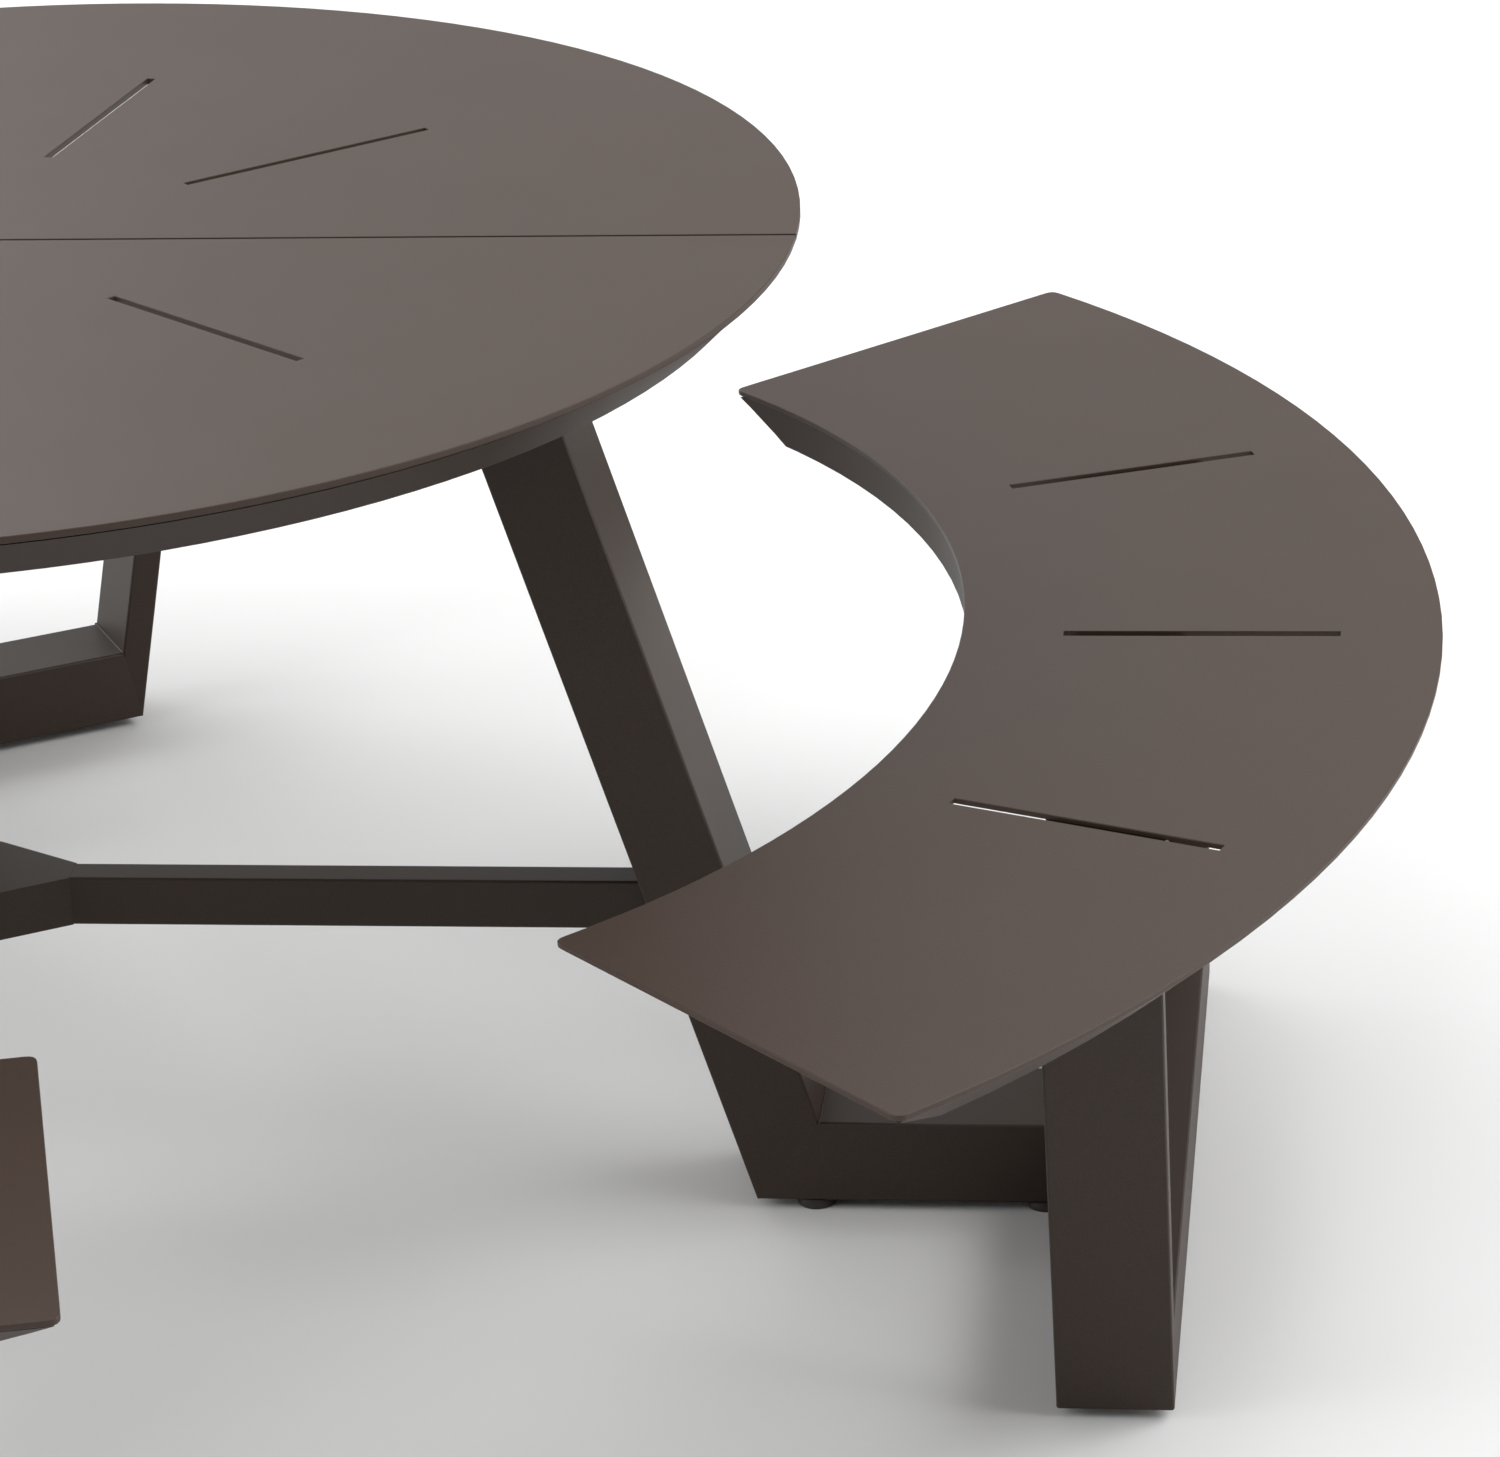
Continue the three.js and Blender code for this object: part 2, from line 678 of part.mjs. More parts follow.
function addGlides(arm, index) {
  for (const { name, along, across } of GLIDE_PLACES) {
    for (const side of [-1, 1]) {
      const hand = side < 0 ? 'right' : 'left';
      const foot = addPart(arm, `glide_${name}_${hand}_${index}`, glide(), GLIDE_RUBBER);
      foot.position.set(along, side * across, 0);
    }
  }
}

function buildArm(index) {
  const arm = new THREE.Group();
  arm.rotation.z = index * ARM_STEP;
  addPart(arm, `table_leg_${index}`, tableLeg(), FRAME_COATING);
  addPart(arm, `foot_beam_${index}`, footBeam(), FRAME_COATING);
  addPart(arm, `crossbeam_${index}`, crossbeam(), FRAME_COATING);
  addPart(arm, `seat_leg_right_${index}`, seatLeg(-1), FRAME_COATING);
  addPart(arm, `seat_leg_left_${index}`, seatLeg(1), FRAME_COATING);
  addPart(arm, `seat_rail_${index}`, seatRail(), FRAME_COATING);
  addPart(arm, `strut_${index}`, strut(), FRAME_COATING);
  addPart(arm, `leg_bracket_${index}`, legBracket(), FRAME_COATING);
  addPart(arm, `seat_plate_${index}`, seatPlate(), SEAT_COATING);
  addPart(arm, `seat_skirt_${index}`, seatSkirt(), FRAME_COATING);
  addGlides(arm, index);
  return arm;
}

/** One third of the top, which lies between two arms. */
function buildTopSector(index) {
  const sector = new THREE.Group();
  sector.rotation.z = (index + 0.5) * ARM_STEP;
  addPart(sector, `tabletop_sector_${index}`, tabletopSector(), TOP_COATING);
  addPart(sector, `table_skirt_${index}`, tableSkirt(), FRAME_COATING);
  addPart(sector, `tip_screw_${index}`, tipScrew(), FASTENER_STEEL);
  return sector;
}

function buildTable() {
  const table = new THREE.Group();
  table.position.x = AXIS_X;
  for (let index = 0; index < ARM_COUNT; index += 1) {
    table.add(buildArm(index), buildTopSector(index));
  }
  addPart(table, 'hub', hub(), FRAME_COATING);
  addPart(table, 'centre_disc', centreDisc(), FRAME_COATING);
  return table;
}

const group = new THREE.Group();
group.add(buildTable());

export default group;
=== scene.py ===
"""Looks of a round picnic table with three curved seats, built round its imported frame.

Metres, +Z up, in the frame of the CAD model. The CAD solids stay: modifiers round their edges, and
procedural coatings give them their finish. The glides are replaced by finer ones, and the fasteners and weld
beads that the CAD model leaves out are added here.
"""

import math

import bmesh
import bpy
from mathutils import Matrix, Vector


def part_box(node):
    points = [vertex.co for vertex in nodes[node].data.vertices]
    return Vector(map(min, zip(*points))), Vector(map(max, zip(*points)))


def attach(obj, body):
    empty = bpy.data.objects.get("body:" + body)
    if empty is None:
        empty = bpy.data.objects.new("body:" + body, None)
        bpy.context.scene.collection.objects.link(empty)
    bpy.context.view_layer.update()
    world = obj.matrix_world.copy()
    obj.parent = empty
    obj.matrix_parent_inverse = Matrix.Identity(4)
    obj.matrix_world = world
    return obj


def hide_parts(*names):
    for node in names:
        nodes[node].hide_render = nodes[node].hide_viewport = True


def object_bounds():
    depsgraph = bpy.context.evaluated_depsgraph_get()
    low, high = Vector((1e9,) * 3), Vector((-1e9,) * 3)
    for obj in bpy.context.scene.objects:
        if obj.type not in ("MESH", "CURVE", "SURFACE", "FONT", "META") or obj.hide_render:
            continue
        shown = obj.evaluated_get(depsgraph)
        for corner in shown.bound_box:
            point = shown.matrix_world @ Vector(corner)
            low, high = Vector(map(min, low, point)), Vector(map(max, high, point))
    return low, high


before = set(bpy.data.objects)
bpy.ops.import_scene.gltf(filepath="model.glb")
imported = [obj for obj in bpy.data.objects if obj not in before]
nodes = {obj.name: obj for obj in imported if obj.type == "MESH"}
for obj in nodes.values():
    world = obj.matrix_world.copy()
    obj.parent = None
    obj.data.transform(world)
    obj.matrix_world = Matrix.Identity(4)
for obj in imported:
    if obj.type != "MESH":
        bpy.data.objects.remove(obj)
cad_low, cad_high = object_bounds()

# ---- Sizes ----

ARM_COUNT = 3
ARM_STEP = 2 * math.pi / ARM_COUNT

# Edge roundings, as (radius, segments)
TUBE_CORNER_RADIUS = 0.002
TUBE_CORNER_SEGMENTS = 4
TUBE_CORNER = (TUBE_CORNER_RADIUS, TUBE_CORNER_SEGMENTS)
PLATE_EDGE = (0.0008, 3)
FOLD = (0.0006, 2)
SCREW_EDGE = (0.0004, 2)
LONG_EDGE = 0.1  # only edges longer than this are the corners of a tube
SHARP_ANGLE = math.radians(30)
FLAT_ANGLE = math.radians(0.5)  # triangles that differ by less become one face
CREASE_ANGLE = math.radians(50)  # steeper edges of the pieces made here are shaded as creases
SAME_POINT = 1e-5
SAME_HEIGHT = 1e-4

ROUND_STEPS = 48  # sides of the turned pieces

# Moulded glides
SOLE_RECESS = [(0, 0.0012), (0.0042, 0.0012), (0.0048, 0.0004), (0.0054, 0)]  # (radius, height)
SOLE_ROUNDING = 0.0015
SOLE_ROUNDING_STEPS = 8
GROOVE_DEPTH = 0.0003
GROOVE_LEVEL = 0.68  # as a part of the glide's height
GLIDE_TOP_EDGE = 0.001
GLIDE_TOP_BULGE = 0.0003

# Flange nuts and the studs that they hold
NUT_ACROSS_FLATS = 0.013
NUT_HEIGHT = 0.0065
NUT_FACE_RADIUS = 0.97 * NUT_ACROSS_FLATS / 2  # inside this radius the nut's face is flat
CHAMFER_ANGLE = math.radians(30)
FLANGE_RADIUS = 0.0089
FLANGE_HEIGHT = 0.0016
FLANGE_PROFILE = [(0.97, 0), (1, 0.1875), (1, 0.7), (0.96, 1)]  # parts of its radius and its height
HEXAGON_START = 1.6 * FLANGE_HEIGHT
STUD_RADIUS = 0.004
STUD_LENGTH = 0.0115
STUD_TIP_RADIUS = 0.8 * STUD_RADIUS
THREAD_PITCH = 0.00125
THREAD_DEPTH = 0.0004
COUNTERSINK_RADIUS = 1.08 * STUD_RADIUS
COUNTERSINK_END_RADIUS = 0.98 * STUD_RADIUS
COUNTERSINK_DEPTH = 0.0005
BRACKET_HOLE_INSET = 0.018
RAIL_NUT_SPACING = 0.25

# Weld beads
FINE_BEAD_RADIUS = 0.0012
HEAVY_BEAD_RADIUS = 0.0026
BEAD_SIDES = 8
RIPPLE_PITCH = 0.0024
RIPPLE_STEPS = 4  # rings to each ripple
RIPPLE = 0.12  # swelling of a rippled bead, as a part of its radius
NO_RIPPLE = 0
BUTT_GAP = 0.0003  # the CAD model leaves these gaps between tubes
RAIL_GAP = 0.0006


def middle(node):
    low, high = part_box(node)
    return (low + high) / 2


AXIS = middle("centre_disc").to_2d().to_3d()  # where the table's axis meets the floor


# ---- Camera and studio ----

CAMERA_PLACE = Vector((1.0219, -3.7170, 1.9531))
CAMERA_PITCH = math.radians(22.95)  # downward
CAMERA_YAW = math.radians(-7.31)  # from +Y towards +X
CAMERA_ROLL = math.radians(-2.66)
SENSOR_WIDTH = 36.0
LENS = 135.27
VIEW_REACH = 100

WORLD_COLOR = (1.0, 1.0, 1.0)
WORLD_STRENGTH = 0.17

SOFTBOX_SIZE = 5.0
SOFTBOX_DISTANCE = 6.0

# Softboxes: name, azimuth from +X and elevation in degrees, seen from the table, and power in watts
SOFTBOXES = [
    ("right_low", 0, 20, 180),
    ("right_high", 0, 50, 170),
    ("back_right", 45, 50, 100),
    ("back", 90, 20, 50),
    ("back_left_low", 135, 20, 160),
    ("back_left_high", 135, 50, 70),
    ("left", 200, 20, 250),
    ("front_left", 250, 60, 120),
]

FLOOR_SIZE = 40.0
FLOOR_COLOR = (0.80, 0.80, 0.80, 1)
FLOOR_ROUGHNESS = 0.9
FLOOR_SPECULAR = 0.2


def make_camera():
    data = bpy.data.cameras.new("camera")
    data.sensor_width = SENSOR_WIDTH
    data.lens = LENS
    data.clip_end = VIEW_REACH
    camera = bpy.data.objects.new("camera", data)
    turn = Matrix.Rotation(-CAMERA_YAW, 4, "Z")
    tilt = Matrix.Rotation(math.pi / 2 - CAMERA_PITCH, 4, "X")
    roll = Matrix.Rotation(CAMERA_ROLL, 4, "Z")
    camera.matrix_world = Matrix.Translation(CAMERA_PLACE) @ turn @ tilt @ roll
    bpy.context.scene.collection.objects.link(camera)
    bpy.context.scene.camera = camera


def make_softbox(name, azimuth, elevation, watts):
    around, up = math.radians(azimuth), math.radians(elevation)
    direction = Vector((math.cos(around) * math.cos(up), math.sin(around) * math.cos(up), math.sin(up)))
    data = bpy.data.lights.new(name, "AREA")
    data.shape = "SQUARE"
    data.size = SOFTBOX_SIZE
    data.energy = watts
    light = bpy.data.objects.new(name, data)
    aim = AXIS + Vector((0, 0, cad_high.z / 2))
    light.location = aim + direction * SOFTBOX_DISTANCE
    light.rotation_mode = "QUATERNION"
    light.rotation_quaternion = direction.to_track_quat("Z", "Y")
    light.visible_camera = False
    bpy.context.scene.collection.objects.link(light)


def make_world():
    world = bpy.data.worlds.new("studio")
    world.use_nodes = True
    background = world.node_tree.nodes["Background"]
    background.inputs["Color"].default_value = (*WORLD_COLOR, 1)
    background.inputs["Strength"].default_value = WORLD_STRENGTH
    bpy.context.scene.world = world
    bpy.context.scene.view_settings.view_transform = "Standard"


def make_floor():
    mesh = bpy.data.meshes.new("floor")
    half = FLOOR_SIZE / 2
    corners = [(-half, -half, 0), (half, -half, 0), (half, half, 0), (-half, half, 0)]
    mesh.from_pydata(corners, [], [(0, 1, 2, 3)])
    floor = bpy.data.objects.new("floor", mesh)
    bpy.context.scene.collection.objects.link(floor)
    material = bpy.data.materials.new("floor")
    material.use_nodes = True
    shader = material.node_tree.nodes["Principled BSDF"]
    shader.inputs["Base Color"].default_value = FLOOR_COLOR
    shader.inputs["Roughness"].default_value = FLOOR_ROUGHNESS
    shader.inputs["Specular IOR Level"].default_value = FLOOR_SPECULAR
    mesh.materials.append(material)


# ---- Materials ----

# In all materials, lengths are in metres, noise scales are per metre, and a shade is a factor of the colour.
# A range is the stretch of a noise's values that goes from none to all of an effect.
FULL_RANGE = (0.3, 0.7)

# Powder coating
PLATE_COLOR = (0.0515, 0.0315, 0.0228)
PLATE_ROUGHNESS = 0.45
PLATE_SPECULAR = 0.33
FRAME_COLOR = (0.0455, 0.0308, 0.0228)
FRAME_ROUGHNESS = 0.50
FRAME_SPECULAR = 0.25
CLOUD_SCALE = 5
CLOUD_SHADES = (0.97, 1.03)
GRAIN_SCALE = 900
GRAIN_RANGE = (0.35, 0.65)
GRAIN_SHADE = 0.78
GRAIN_AMOUNT = 0.8
GLOSS_SCALE = 9
GLOSS_SPREAD = 0.01
PEEL_SCALE = 800
PEEL_STRENGTH = 0.60
PEEL_DEPTH = 0.00020
RUBBED_REACH = 0.0012
RUBBED_SHADE = 2.2
RUBBED_AMOUNT = 0.35
RUBBED_PATCH_SCALE = 60
RUBBED_PATCH_RANGE = (0.45, 0.75)
EDGE_RANGE = (0.97, 0.80)  # of the cosine between the true normal and one rounded over the edge

# Rubber of the glides
RUBBER_COLOR = (0.024, 0.017, 0.0145, 1)
DUST_COLOR = (0.09, 0.078, 0.072, 1)
DUST_HEIGHT = 0.010
DUST_SCALE = 220
DUST_RANGE = (0.4, 0.7)
DUST_AMOUNT = 0.5
RUBBER_ROUGHNESS = (0.55, 0.85)  # clean and dusty
RUBBER_GRAIN_SCALE = 900
RUBBER_GRAIN_STRENGTH = 0.25
RUBBER_GRAIN_DEPTH = 0.00008

# Zinc of the fasteners
ZINC_COLOR = (0.52, 0.53, 0.54, 1)
DULL_ZINC_COLOR = (0.33, 0.33, 0.32, 1)
ZINC_PATCH_SCALE = 160
ZINC_PATCH_RANGE = (0.35, 0.7)
ZINC_ROUGHNESS = (0.28, 0.46)  # bright and dull
ZINC_GRAIN_SCALE = 1500
ZINC_GRAIN_STRENGTH = 0.2
ZINC_GRAIN_DEPTH = 0.00005


class Material:
    """A small helper that adds shader nodes and joins them."""

    def __init__(self, name):
        self.material = bpy.data.materials.new(name)
        self.material.use_nodes = True
        self.tree = self.material.node_tree
        self.shader = self.tree.nodes["Principled BSDF"]
        self.place = self.tree.nodes.new("ShaderNodeTexCoord").outputs["Object"]

    def node(self, kind, inputs=None, **settings):
        node = self.tree.nodes.new(kind)
        for key, value in settings.items():
            setattr(node, key, value)
        for key, value in (inputs or {}).items():
            self.join(value, node.inputs[key])
        return node

    def join(self, value, socket):
        if isinstance(value, bpy.types.NodeSocket):
            self.tree.links.new(value, socket)
        else:
            socket.default_value = value

    def noise(self, scale, detail=2.0, roughness=0.5):
        inputs = {"Vector": self.place, "Scale": scale, "Detail": detail, "Roughness": roughness}
        return self.node("ShaderNodeTexNoise", inputs).outputs["Fac"]

    def ranged(self, value, source, target=(0, 1)):
        """Carries the source range of a value over to the target range, and stops at its ends."""
        inputs = {
            "Value": value,
            "From Min": source[0],
            "From Max": source[1],
            "To Min": target[0],
            "To Max": target[1],
        }
        return self.node("ShaderNodeMapRange", inputs).outputs["Result"]

    def mixed(self, factor, first, second):
        """A mix of two colours. The node's colour sockets follow those for numbers and vectors."""
        node = self.node("ShaderNodeMix", data_type="RGBA")
        self.join(factor, node.inputs[0])
        self.join(first, node.inputs[6])
        self.join(second, node.inputs[7])
        return node.outputs[2]

    def multiplied(self, first, second):
        node = self.node("ShaderNodeMath", operation="MULTIPLY")
        self.join(first, node.inputs[0])
        self.join(second, node.inputs[1])
        return node.outputs["Value"]

    def bump(self, height, strength, distance):
        inputs = {"Height": height, "Strength": strength, "Distance": distance}
        return self.node("ShaderNodeBump", inputs).outputs["Normal"]

    def edge_wear(self, reach):
        """One along sharp edges and zero on flat faces, broken up by noise."""
        rounded = self.node("ShaderNodeBevel", {"Radius": reach}, samples=4).outputs["Normal"]
        true_normal = self.node("ShaderNodeNewGeometry").outputs["Normal"]
        agreement = self.node("ShaderNodeVectorMath", operation="DOT_PRODUCT")
        self.join(rounded, agreement.inputs[0])
        self.join(true_normal, agreement.inputs[1])
        edge = self.ranged(agreement.outputs["Value"], EDGE_RANGE)
        patches = self.ranged(self.noise(RUBBED_PATCH_SCALE, detail=4, roughness=0.65), RUBBED_PATCH_RANGE)
        return self.multiplied(edge, patches)


def shade(color, factor):
    return (*(channel * factor for channel in color), 1)


def powder_coat(name, color, roughness, specular):
    """A satin powder coating: orange-peel skin, faint cloudy colour, fine grain, and edges rubbed lighter."""
    coat = Material(name)
    clouds = coat.ranged(coat.noise(CLOUD_SCALE, detail=3), FULL_RANGE)
    cloud_low, cloud_high = CLOUD_SHADES
    tone = coat.mixed(clouds, shade(color, cloud_low), shade(color, cloud_high))
    grain = coat.ranged(coat.noise(GRAIN_SCALE), GRAIN_RANGE, (0, GRAIN_AMOUNT))
    tone = coat.mixed(grain, tone, shade(color, GRAIN_SHADE))
    rubbed = coat.multiplied(coat.edge_wear(RUBBED_REACH), RUBBED_AMOUNT)
    tone = coat.mixed(rubbed, tone, shade(color, RUBBED_SHADE))
    coat.join(tone, coat.shader.inputs["Base Color"])
    gloss_range = (roughness - GLOSS_SPREAD, roughness + GLOSS_SPREAD)
    gloss = coat.ranged(coat.noise(GLOSS_SCALE, detail=4), FULL_RANGE, gloss_range)
    coat.join(gloss, coat.shader.inputs["Roughness"])
    coat.shader.inputs["Specular IOR Level"].default_value = specular
    peel = coat.noise(PEEL_SCALE, detail=3, roughness=0.6)
    coat.join(coat.bump(peel, PEEL_STRENGTH, PEEL_DEPTH), coat.shader.inputs["Normal"])
    return coat.material


def glide_rubber():
    """Dark brown moulded rubber, dusty towards the sole."""
    rubber = Material("glide_rubber")
    height = rubber.node("ShaderNodeSeparateXYZ", {"Vector": rubber.place}).outputs["Z"]
    near_floor = rubber.ranged(height, (DUST_HEIGHT, 0))
    patches = rubber.noise(DUST_SCALE, detail=4, roughness=0.7)
    patches = rubber.ranged(patches, DUST_RANGE, (0, DUST_AMOUNT))
    dust = rubber.multiplied(near_floor, patches)
    rubber.join(rubber.mixed(dust, RUBBER_COLOR, DUST_COLOR), rubber.shader.inputs["Base Color"])
    roughness = rubber.ranged(dust, (0, DUST_AMOUNT), RUBBER_ROUGHNESS)
    rubber.join(roughness, rubber.shader.inputs["Roughness"])
    grain = rubber.bump(rubber.noise(RUBBER_GRAIN_SCALE), RUBBER_GRAIN_STRENGTH, RUBBER_GRAIN_DEPTH)
    rubber.join(grain, rubber.shader.inputs["Normal"])
    return rubber.material


def fastener_steel():
    """Bright zinc plating with a fine grain and dull patches."""
    steel = Material("fastener_steel")
    patches = steel.noise(ZINC_PATCH_SCALE, detail=4, roughness=0.6)
    tone = steel.mixed(steel.ranged(patches, ZINC_PATCH_RANGE), ZINC_COLOR, DULL_ZINC_COLOR)
    steel.join(tone, steel.shader.inputs["Base Color"])
    steel.shader.inputs["Metallic"].default_value = 1.0
    steel.join(steel.ranged(patches, FULL_RANGE, ZINC_ROUGHNESS), steel.shader.inputs["Roughness"])
    grain = steel.bump(steel.noise(ZINC_GRAIN_SCALE), ZINC_GRAIN_STRENGTH, ZINC_GRAIN_DEPTH)
    steel.join(grain, steel.shader.inputs["Normal"])
    return steel.material


TOP_COAT = powder_coat("top_coating", PLATE_COLOR, PLATE_ROUGHNESS, PLATE_SPECULAR)
SEAT_COAT = powder_coat("seat_coating", PLATE_COLOR, PLATE_ROUGHNESS, PLATE_SPECULAR)
FRAME_COAT = powder_coat("frame_coating", FRAME_COLOR, FRAME_ROUGHNESS, FRAME_SPECULAR)
RUBBER = glide_rubber()
STEEL = fastener_steel()


# ---- Rounded edges on the CAD solids ----


def clean_solid_group():
    """Geometry nodes that weld a solid's triangles, shade it smooth and mark the long corners of a tube."""
    group = bpy.data.node_groups.new("clean_solid", "GeometryNodeTree")
    group.interface.new_socket("Geometry", in_out="INPUT", socket_type="NodeSocketGeometry")
    group.interface.new_socket("Geometry", in_out="OUTPUT", socket_type="NodeSocketGeometry")
    add, link = group.nodes.new, group.links.new

    weld = add("GeometryNodeMergeByDistance")
    weld.inputs["Distance"].default_value = SAME_POINT
    link(add("NodeGroupInput").outputs[0], weld.inputs["Geometry"])
    geometry = weld.outputs["Geometry"]
    for attribute in ("custom_normal", "sharp_edge", "sharp_face"):
        remove = add("GeometryNodeRemoveAttribute")
        remove.inputs["Name"].default_value = attribute
        link(geometry, remove.inputs["Geometry"])
        geometry = remove.outputs["Geometry"]
    smooth = add("GeometryNodeSetShadeSmooth")
    link(geometry, smooth.inputs["Geometry"])

    ends = add("GeometryNodeInputMeshEdgeVertices")
    length = add("ShaderNodeVectorMath")
    length.operation = "DISTANCE"
    link(ends.outputs["Position 1"], length.inputs[0])
    link(ends.outputs["Position 2"], length.inputs[1])
    is_long = add("FunctionNodeCompare")
    is_long.inputs["B"].default_value = LONG_EDGE
    link(length.outputs["Value"], is_long.inputs["A"])
    is_corner = add("FunctionNodeCompare")
    is_corner.inputs["B"].default_value = SHARP_ANGLE
    link(add("GeometryNodeInputMeshEdgeAngle").outputs["Signed Angle"], is_corner.inputs["A"])
    both = add("FunctionNodeBooleanMath")
    link(is_long.outputs["Result"], both.inputs[0])
    link(is_corner.outputs["Result"], both.inputs[1])
    mark = add("GeometryNodeStoreNamedAttribute")
    mark.domain = "EDGE"
    mark.inputs["Name"].default_value = "bevel_weight_edge"
    link(smooth.outputs["Geometry"], mark.inputs["Geometry"])
    link(both.outputs["Boolean"], mark.inputs["Value"])
    link(mark.outputs["Geometry"], add("NodeGroupOutput").inputs[0])
    return group


CLEAN_SOLID = clean_solid_group()


def round_edges(piece, rounding, long_corners_only):
    clean = piece.modifiers.new("clean", "NODES")
    clean.node_group = CLEAN_SOLID
    flatten = piece.modifiers.new("flatten", "DECIMATE")
    flatten.decimate_type = "DISSOLVE"
    flatten.angle_limit = FLAT_ANGLE
    flatten.delimit = set()
    bevel = piece.modifiers.new("round", "BEVEL")
    bevel.width, bevel.segments = rounding
    bevel.limit_method = "WEIGHT" if long_corners_only else "ANGLE"
    bevel.angle_limit = SHARP_ANGLE
    piece.modifiers.new("normals", "WEIGHTED_NORMAL")


def dress(prefix, material, rounding, long_corners_only=False):
    """Gives every CAD node whose name starts with the prefix its finish and its rounded edges."""
    for name, piece in nodes.items():
        if name.startswith(prefix):
            piece.data.materials.clear()
            piece.data.materials.append(material)
            round_edges(piece, rounding, long_corners_only)


def dress_cad_nodes():
    dress("tabletop_sector", TOP_COAT, PLATE_EDGE)
    dress("table_skirt", FRAME_COAT, FOLD)
    dress("seat_plate", SEAT_COAT, PLATE_EDGE)
    dress("seat_skirt", FRAME_COAT, FOLD)
    for prefix in ("table_leg", "foot_beam", "crossbeam", "seat_leg", "seat_rail", "strut"):
        dress(prefix, FRAME_COAT, TUBE_CORNER, long_corners_only=True)
    dress("hub", FRAME_COAT, PLATE_EDGE)
    dress("leg_bracket", FRAME_COAT, FOLD)
    dress("centre_disc", FRAME_COAT, FOLD)
    dress("tip_screw", STEEL, SCREW_EDGE)


# ---- Pieces made here ----


def make_piece(name, mesh, material):
    mesh.materials.append(material)
    mesh.shade_smooth()
    mesh.set_sharp_from_angle(angle=CREASE_ANGLE)
    piece = bpy.data.objects.new(name, mesh)
    bpy.context.scene.collection.objects.link(piece)
    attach(piece, "root")
    return piece


def to_mesh(solid, name):
    mesh = bpy.data.meshes.new(name)
    solid.to_mesh(mesh)
    solid.free()
    return mesh


def arm_turn(arm):
    return Matrix.Translation(AXIS) @ Matrix.Rotation(arm * ARM_STEP, 4, "Z") @ Matrix.Translation(-AXIS)


def add_ring(solid, radius_at, height_at):
    """Vertices all round +Z. The radius and the height are functions of the angle."""
    ring = []
    for step in range(ROUND_STEPS):
        turn = 2 * math.pi * step / ROUND_STEPS
        radius = radius_at(turn)
        ring.append(solid.verts.new((radius * math.cos(turn), radius * math.sin(turn), height_at(turn))))
    return ring


def add_circle(solid, radius, height):
    return add_ring(solid, lambda turn: radius, lambda turn: height)


def join_rings(solid, rings):
    """Faces from each ring to the next. A ring of one vertex is a point on the axis."""
    for near, far in zip(rings, rings[1:]):
        for step in range(ROUND_STEPS):
            after = (step + 1) % ROUND_STEPS
            corners = [near[step % len(near)], far[step % len(far)]]
            corners += [far[after % len(far)], near[after % len(near)]]
            different_corners = list(dict.fromkeys(corners))
            solid.faces.new(different_corners)


# ---- Moulded glides ----


def glide_profile(radius, top):
    """From the recess in the sole, over the rounded lower edge and a fine moulding groove, to the top."""
    profile = list(SOLE_RECESS)
    for step in range(SOLE_ROUNDING_STEPS + 1):
        angle = step / SOLE_ROUNDING_STEPS * math.pi / 2
        reach = radius - SOLE_ROUNDING * (1 - math.sin(angle))
        profile.append((reach, SOLE_ROUNDING * (1 - math.cos(angle))))
    groove = top * GROOVE_LEVEL
    profile += [
        (radius, groove),
        (radius - GROOVE_DEPTH, groove + GROOVE_DEPTH),
        (radius - GROOVE_DEPTH, groove + 2 * GROOVE_DEPTH),
        (radius, groove + 3 * GROOVE_DEPTH),
        (radius, top - GLIDE_TOP_EDGE),
        (radius - GLIDE_TOP_BULGE, top - GLIDE_TOP_BULGE),
        (radius - GLIDE_TOP_EDGE, top),
        (0, top),
    ]
    return profile


def turned_glide(profile):
    """A closed solid turned round +Z from (radius, height) points that start and end on the axis."""
    glide = bmesh.new()
    rings = []
    for radius, height in profile:
        if radius == 0:
            rings.append([glide.verts.new((0, 0, height))])
        else:
            rings.append(add_circle(glide, radius, height))
    join_rings(glide, rings)
    bmesh.ops.recalc_face_normals(glide, faces=glide.faces)
    return glide


def make_glides():
    for name in sorted(nodes):
        if not name.startswith("glide_"):
            continue
        low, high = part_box(name)
        glide = turned_glide(glide_profile((high.x - low.x) / 2, high.z))
        glide.transform(Matrix.Translation(middle(name).to_2d().to_3d()))
        piece = make_piece(f"moulded_{name}", to_mesh(glide, name), RUBBER)
        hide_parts(name)


# ---- Flange nuts on studs ----


def hexagon_radius(turn):
    """Distance from the middle of the nut's hexagon to its outline."""
    sixth = math.pi / 3
    return NUT_ACROSS_FLATS / 2 / math.cos((turn % sixth) - sixth / 2)


def chamfer_height(turn):
    """Height of the chamfer where it meets the hexagon's outline."""
    beyond = hexagon_radius(turn) - NUT_FACE_RADIUS
    return -NUT_HEIGHT + max(0, beyond) * math.tan(CHAMFER_ANGLE)


